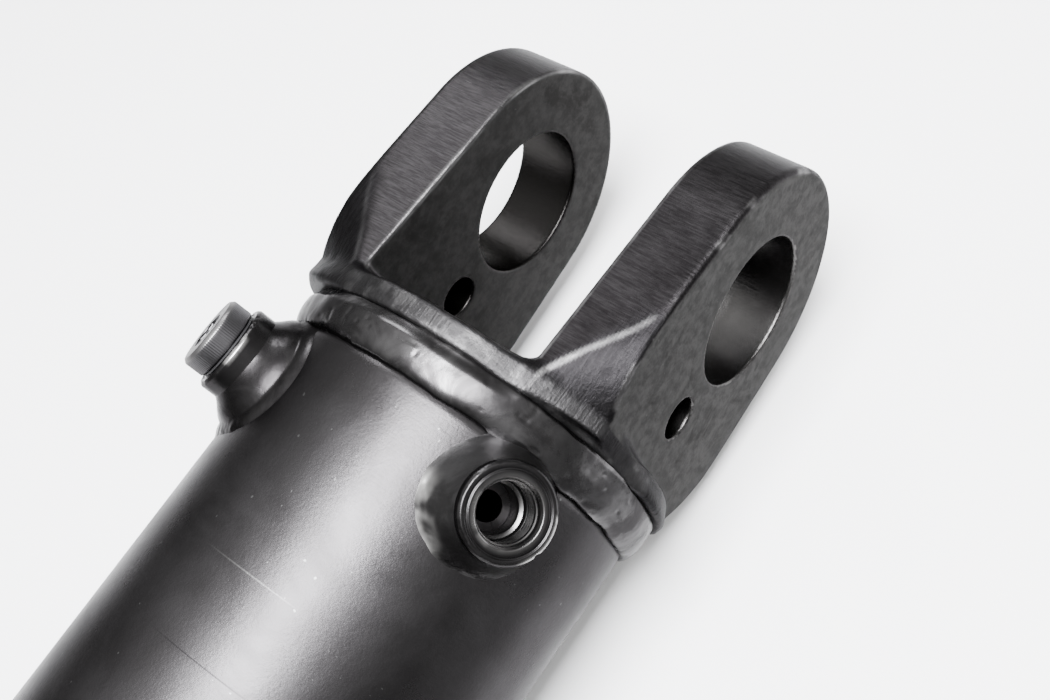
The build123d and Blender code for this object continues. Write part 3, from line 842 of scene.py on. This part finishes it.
def make_port_weld(name, x, lean, toe_r, top_h, passes, seed):
    """Weld skirt from a boss down to the tube, of one run or of two runs painted darker (painted shade),
    with rough lumps along part of its toe."""
    columns, rows = 320, 30
    turning = port_axis(x, lean)
    angle = np.broadcast_to(np.arange(columns) * tau / columns, (rows, columns))
    t = np.linspace(0, 1, rows)[:, None]
    ring = turning.at(np.full(angle.shape, TUBE_R), np.full(angle.shape, toe_r), angle)
    lumpy = sector(angle, -25, 85)
    spread = 2.0 * sector(angle, -50, 60) * (0.7 + 0.6 * cloud(ring, 9, seed + 1))
    reach = toe_r + 0.5 * cloud(ring, 14, seed) + spread
    radius = PORT_BOSS_R - 0.3 + (reach - PORT_BOSS_R + 0.3) * t
    on_tube = np.sqrt(TUBE_R**2 - (radius * np.sin(angle)) ** 2)
    top = top_h + 0.25 * cloud(ring, 12, seed + 2)
    height = on_tube - 0.35 + (top - on_tube[:1] + 0.35) * (1 - t) ** (0.9 + 0.5 * passes)
    at = turning.at(height, radius, angle)
    fade = np.sin(pi * t)
    bumps = (0.12 + 0.75 * lumpy * ramp(t, 0.45, 0.8)) * cloud(at, 6, seed + 5)
    bumps += 0.30 * lumpy * ramp(t, 0.5, 0.9) * cloud(at, 2.4, seed + 9, 2)
    runs = 0.45 * (passes - 1) * np.abs(np.sin(pi * passes * t ** 1.1))
    height = height + fade * (bumps + runs)
    radius = radius + fade * (0.5 * bumps + runs)
    worn = sector(angle, -50, 42) * ramp(t, 0.40, 0.65) * ramp(cloud(at, 7, seed + 12), -0.45, 0.1)
    worn = 0.05 + 0.05 * cloud(at, 9, seed + 15) + 0.95 * worn
    inner = np.full((1, columns), PORT_BOSS_R - 0.6)
    radius = np.concatenate([inner, radius, radius[-1:], inner])
    height = np.concatenate([height[:1] - 1.0, height, height[-1:] - 2.5, height[:1] - 8])
    if passes == 1:
        worn = np.concatenate([worn[:1], worn, worn[-1:], worn[:1]])
    else:
        worn = np.full(radius.shape, 0.12)
    dull = np.full(worn.size, 2.0 - passes)
    # The dark mark gives the two-run skirt painted shade.
    dark = np.full(worn.size, passes - 1.0)
    angle = np.broadcast_to(angle[:1], radius.shape)
    points = turning.at(height, radius, angle).reshape(-1, 3)
    piece = new_piece(f"{name}_weld_skirt", points, ring_quads(rows + 3, columns, True), 60,
                      worn=worn.reshape(-1), dull=dull, dark=dark)
    return place(piece, FINISH["weld_metal"], "barrel", "weld_metal", f"{name}_weld")


def hexagon_radius(angle, half_flats):
    """Radius of a hexagon by angle."""
    return half_flats / np.cos((angle % (pi / 3)) - pi / 6)


def make_plug():
    """Screw plug: knurled round head, bevelled, with a hexagon socket."""
    turning = port_axis(SPARE_PORT_X, -1)
    low, top = PLUG_BASE_H, PLUG_TOP_H
    knurl = (low + 0.5, top - 1.1)
    shank_r, shank_end = PORT_THREAD_R - 0.1, low - 11
    outline = [(top - 4.5, 0.001), (top - 4.5, 4.0), (top - 0.5, 4.4), (top, 6.0), (top, PLUG_R - 1.0),
               (knurl[1], PLUG_R), (knurl[0], PLUG_R), (low, PLUG_R - 0.4), (low, shank_r),
               (shank_end, shank_r), (shank_end, 0.001)]
    outline = divided(rounded(outline, 0.25, 2), 0.8)

    def shape(along, radius, angle):
        ridge = np.abs((angle * KNURL_TEETH / tau % 1) * 2 - 1)
        on_knurl = (radius > PLUG_R - 0.6) * ramp(along, knurl[0] - 0.4, knurl[0] + 0.2)
        on_knurl = on_knurl * ramp(knurl[1] + 0.4 - along, 0, 0.6)
        radius = radius - KNURL_DEPTH * on_knurl * ridge
        socket = (along > top - 4.7) & (radius < 5.6) & (radius > 3.5)
        blend = ramp(along, top - 0.7, top)
        hexagon = hexagon_radius(angle, SOCKET_HALF_AF) * (1 - blend) + 6.0 * blend
        return along, np.where(socket, hexagon, radius)

    def worn(along, radius, angle):
        return 0.35 * ramp(1.2 - np.hypot(along - top + 0.5, radius - PLUG_R + 0.5), 0, 0.8)

    piece = lathe("port_plug_knurled", outline, turning, 576, shape, 30, worn=worn)
    return place(piece, FINISH["dark_steel"], "barrel", "dark_steel", "port_plug")


# The rod end

def make_gland():
    """Gland head: flange with a ringed face, a pocket for the wiper and six slots for the spanner."""
    back, end = TUBE_END_X - 10, GLAND_END_X
    guide_r, wiper_seat_r = ROD_R + 0.4, 34.6
    outline = [(back, guide_r), (back, BORE_R), (TUBE_END_X - 0.4, BORE_R),
               (TUBE_END_X - 0.4, GLAND_R - 0.6), (TUBE_END_X + 0.6, GLAND_R), (end - 2.6, GLAND_R),
               (end, GLAND_R - 2.6), (end, 41.5), (end - 1.0, 40.5), (end - 1.0, 38.5), (end, 37.5),
               (end, wiper_seat_r), (end - 9, wiper_seat_r), (end - 9, guide_r)]
    piece = lathe("gland_head", divided(rounded(outline, 0.6), 2.5), columns=288)
    slot_x = (TUBE_END_X + GLAND_END_X) / 2 + 5
    slots = 6
    cutters = []
    for k in range(slots):
        turn = k * tau / slots
        out = np.array((0, sin(turn), cos(turn)))
        side = np.array((0, cos(turn), -sin(turn)))
        corners = [np.array((slot_x + 10 * i, 0, 0)) + side * 4.5 * j + out * h
                   for i, j in ((-1, -1), (1, -1), (1, 1), (-1, 1)) for h in (GLAND_R - 5.0, GLAND_R + 3)]
        faces = np.array([(0, 2, 4, 6), (1, 7, 5, 3), (0, 1, 3, 2),
                          (2, 3, 5, 4), (4, 5, 7, 6), (6, 7, 1, 0)])
        cutters.append(new_piece("cutter", np.array(corners), faces))
    cut_away(piece, *cutters)
    bevel = piece.modifiers.new("edges", "BEVEL")
    bevel.width, bevel.segments, bevel.limit_method, bevel.angle_limit = 0.0005, 2, "ANGLE", radians(50)
    piece.data.shade_smooth()
    piece.data.set_sharp_from_angle(angle=radians(30))
    return place(piece, FINISH["machined_steel"], "barrel", "machined_steel", "gland")


def make_wiper():
    """Rod wiper, whose lip leans outwards."""
    x, r = GLAND_END_X, ROD_R + 0.05
    outline = rounded([(x - 8, r + 1.5), (x - 8, 34.4), (x - 1.2, 34.4), (x - 0.4, 32.5), (x + 1.6, r + 1.0),
                       (x + 2.0, r), (x + 0.5, r), (x - 2, r + 0.8)], 0.5)
    return place(lathe("wiper_lip", outline), FINISH["seal_rubber"], "barrel", "seal_rubber", "wiper")


def make_rod():
    """Chromed rod with the stub that the piston sits on."""
    start, stub_end = PISTON_STUB_X
    outline = rounded([(start, 0.001), (start, PISTON_STUB_R - 2), (start + 2, PISTON_STUB_R),
                       (stub_end, PISTON_STUB_R), (stub_end, ROD_R - 1), (stub_end + 1, ROD_R),
                       (ROD_END_X - 0.5, ROD_R), (ROD_END_X + 3, ROD_R - 5), (ROD_END_X + 3, 0.001)], 0.5)
    piece = lathe("piston_rod_chromed", divided(outline, 20), columns=256)
    return place(piece, FINISH["hard_chrome"], "rod", "hard_chrome", "rod")


def make_eye():
    """The rod eye's forging, made the same way as the clevis."""
    low = (ROD_END_X + 2, -EYE_Y - 2, -EYE_R - 2)
    high = (EYE_X + EYE_R + 2, EYE_Y + 2, EYE_R + 2)
    points, quads, normals = field_mesh(eye_field, low, high, FORGING_STEP)
    x, y, z = (points - (EYE_X, 0, 0)).T
    seat = np.hypot(x, z) < EYE_SEAT_R + 0.3
    flat = ramp(np.abs(normals[:, 1]), 0.90, 0.97)
    forged = (1 - flat) * 0.7
    rim = np.abs(np.hypot(x, z) - EYE_R) + np.abs(np.abs(y) - EYE_Y)
    worn = ramp(2.4 - rim, 0, 1.0) * (0.3 + 0.7 * ramp(cloud(points, 9, 35), -0.2, 0.3))
    lift = forged * ~seat * (0.10 * cloud(points, 3.2, 41) + 0.08 * cloud(points, 9, 47) - 0.09)
    piece = new_piece("rod_eye_forging", points + lift[:, None] * normals, quads,
                      flat=flat * ~seat, forged=forged * ~seat, bore=seat * 1.0, worn=worn * 0.8)
    return place(piece, FINISH["forged_steel"], "rod", "forged_steel", "rod_eye")


def make_bush():
    """Bush with bevelled ends and two shallow grease grooves."""
    half, inner, groove_r = BUSH_Y, PIN_R, PIN_R + 0.8
    wall = [(-half, inner + 1.2), (-half + 1.2, inner), (-9.5, inner), (-8.5, groove_r), (-6.5, groove_r),
            (-5.5, inner), (5.5, inner), (6.5, groove_r), (8.5, groove_r), (9.5, inner),
            (half - 1.2, inner), (half, inner + 1.2)]
    outline = rounded([*wall, (half, EYE_SEAT_R - 0.5), (half - 0.5, EYE_SEAT_R), (-half + 0.5, EYE_SEAT_R),
                       (-half, EYE_SEAT_R - 0.5)], 0.3)
    piece = lathe("rod_eye_bush_bore", divided(outline, 3), ALONG_EYE, 200)
    return place(piece, FINISH["bush_bronze"], "rod", "bush_bronze", "rod_eye_bush")


def make_eye_seal(side):
    """Dust seal: a stiff outer rim and a lip that leans out over the pin."""
    y0, y1 = BUSH_Y + 0.05, EYE_Y + 0.35
    outline = [(y0, EYE_SEAT_R), (y1 - 0.9, EYE_SEAT_R), (y1 - 0.5, 29.0), (y1 - 0.9, 27.8), (y1, 26.2),
               (y1 - 0.2, 25.65), (y1 - 1.0, 25.65), (y1 - 2.2, 27.2), (y0, 27.4)]
    outline = rounded([(side * along, radius) for along, radius in outline], 0.3)
    name = "far" if side < 0 else "near"
    return lathe(f"rod_eye_dust_seal_{name}", outline, ALONG_EYE, 200)


def make_nipple():
    """Grease nipple: hexagon, waisted body and a ball-shaped head with its check ball."""
    turning = Turning((EYE_X, 0, 0), (0, 0, 1), (1, 0, 0))
    seat = EYE_R - 0.6
    heights = (-6, -6, 0, 0, 0.4, 3.4, 3.9, 4.2, 7.8, 8.8, 10.2, 11.6, 12.9, 12.9, 12.5, 12.7)
    radii = (0.001, 2.9, 2.9, 4.4, 4.8, 4.8, 4.3, 3.0, 2.3, 2.4, 3.1, 3.1, 1.9, 1.1, 0.9, 0.001)
    outline = [(seat + height, radius) for height, radius in zip(heights, radii)]
    outline = divided(rounded(outline, 0.3, 2), 0.8)

    def hexagonal(along, radius, angle):
        flats = (along > seat - 0.2) & (along < seat + 4.0) & (radius > 4.0)
        return along, np.where(flats, np.minimum(hexagon_radius(angle, 4.45), radius + 0.35), radius)

    piece = lathe("grease_nipple_body", outline, turning, 120, hexagonal, 30)
    return place(piece, FINISH["zinc_plate"], "rod", "zinc_plate", "grease_nipple")


make_clevis()
base_bead = bead_ring("base_weld_bead", GROOVE_X - 0.6, BEAD_END_X, TUBE_R,
                      top_r=lambda angle: BEAD_TOP_R + 0.6 * np.sin(angle) ** 2,
                      start_r=lambda angle: np.minimum(collar_radius(angle) - 0.5, BEAD_TOP_R), seed=61)
place(base_bead, FINISH["weld_metal"], "barrel", "weld_metal", "base_weld")
make_tube()
PORTS = (
    # name, place along X, lean, weld's toe radius and top height, weld passes, seed
    ("base_port", BASE_PORT_X, 1, 19.8, 72.0, 1, 71),
    ("spare_port", SPARE_PORT_X, -1, 23.5, 69.0, 2, 81),
    ("rod_port", ROD_PORT_X, 1, 20.0, 70.0, 1, 91),
)
for port, port_x, lean, toe_r, top_h, passes, seed in PORTS:
    make_boss(port, port_x, lean, seed)
    make_port_weld(port, port_x, lean, toe_r, top_h, passes, seed + 100)
make_plug()
make_gland()
make_wiper()
make_rod()
eye_bead = bead_ring("rod_eye_weld_bead", ROD_END_X - 1.2, ROD_END_X + 7.5, ROD_R + 0.4,
                     top_r=lambda angle: np.full_like(angle, 31.3),
                     start_r=lambda angle: np.full_like(angle, 29.6),
                     seed=121, columns=420, rows=20, lump=0.3)
place(eye_bead, FINISH["weld_metal"], "rod", "weld_metal", "rod_eye_weld")
make_eye()
make_bush()
for side in (-1, 1):
    place(make_eye_seal(side), FINISH["seal_rubber"], "rod", "seal_rubber", "rod_eye_dust_seals")
make_nipple()

# Every CAD node gets its slot's finish, also the ones that other pieces stand for.
for row in frame["record"]["subparts"]:
    node = frame["nodes"][row["node"]]
    node.data.materials.clear()
    node.data.materials.append(FINISH[row["material_slot"]])


# Stage, light and camera

def stage_card(name, x0, x1, y0, y1, height):
    """Level rectangle of the stage, in metres."""
    mesh = bpy.data.meshes.new(name)
    corners = [(x0, y0, height), (x1, y0, height), (x1, y1, height), (x0, y1, height)]
    mesh.from_pydata(corners, [], [(0, 1, 2, 3)])
    card = bpy.data.objects.new(name, mesh)
    bpy.context.scene.collection.objects.link(card)
    return card


def make_floor():
    floor = stage_card("floor", -FLOOR_HALF, FLOOR_HALF, -FLOOR_HALF, FLOOR_HALF, cad_box[0][2])
    s = Shader("floor")
    colour = s.mix(s.noise(3, detail=3), (0.86, 0.86, 0.86), (0.89, 0.89, 0.89))
    floor.data.materials.append(s.done(colour, CARD_ROUGHNESS, 0.0))


def make_flag():
    """Dark card just above the floor on the camera's side. Only reflections see it: it keeps the tube's near
    lower flank dark, as it is in a studio that is dark on that side."""
    flag = stage_card("flag", *FLAG_SPAN, cad_box[0][2] + 0.002)
    flag.visible_camera = flag.visible_diffuse = flag.visible_shadow = False
    s = Shader("flag")
    shade = s.mix(s.noise(40, detail=3), (0.12, 0.12, 0.12), (0.15, 0.15, 0.15))
    edge_y = FLAG_SPAN[2]
    fade = s.levels(s.coordinate("Y"), edge_y, edge_y + 0.14)
    colour = s.mix(fade, (0.87, 0.87, 0.87), shade)
    flag.data.materials.append(s.done(colour, CARD_ROUGHNESS, 0.0))


def soft_light(name, place_at, aim, size, watts, size_y=None):
    """Rectangular area light at one place, turned towards another."""
    data = bpy.data.lights.new(name, "AREA")
    data.color = LIGHT_TINT
    data.shape, data.size, data.size_y, data.energy = "RECTANGLE", size, size_y or size, watts
    light = bpy.data.objects.new(name, data)
    bpy.context.scene.collection.objects.link(light)
    light.location = place_at
    light.rotation_euler = (Vector(aim) - Vector(place_at)).to_track_quat("-Z", "Y").to_euler()


def make_world():
    """Soft studio sky: dim at the horizon and brightest overhead."""
    world = bpy.data.worlds.new("studio")
    world.use_nodes = True
    tree = world.node_tree
    direction = tree.nodes.new("ShaderNodeTexCoord")
    parts = tree.nodes.new("ShaderNodeSeparateXYZ")
    sky = tree.nodes.new("ShaderNodeValToRGB")
    tree.links.new(direction.outputs["Generated"], parts.inputs[0])
    tree.links.new(parts.outputs["Z"], sky.inputs[0])
    tree.links.new(sky.outputs["Color"], tree.nodes["Background"].inputs["Color"])
    stops = sky.color_ramp.elements
    while len(stops) < len(SKY_GREYS):
        stops.new(0.5)
    for stop, (height, grey) in zip(stops, SKY_GREYS):
        stop.position, stop.color = height, (grey, grey, grey, 1)
    tree.nodes["Background"].inputs["Strength"].default_value = SKY_STRENGTH
    bpy.context.scene.world = world


def make_camera():
    """The camera's place, the point that it looks at on the cylinder's axis plane, and its roll."""
    eye = Vector((0.1340, 0.1958, 0.3598))
    aim = Vector((0.0452, -0.0004, 0.0))
    roll = radians(-32.97)
    data = bpy.data.cameras.new("camera")
    data.lens, data.sensor_width, data.clip_start = 45.15, 36.0, 0.01
    camera = bpy.data.objects.new("camera", data)
    bpy.context.scene.collection.objects.link(camera)
    turn = (aim - eye).to_track_quat("-Z", "Y").to_matrix().to_4x4()
    camera.matrix_world = Matrix.Translation(eye) @ turn @ Matrix.Rotation(roll, 4, "Z")
    bpy.context.scene.camera = camera


make_floor()
make_flag()
soft_light("overhead", (0.18, 0.13, 1.0), (0.18, 0.13, 0), 0.60, 74, 0.48)
soft_light("rear", (-0.86, -0.96, 1.0), (0, -0.04, 0), 0.44, 11)
make_world()
make_camera()
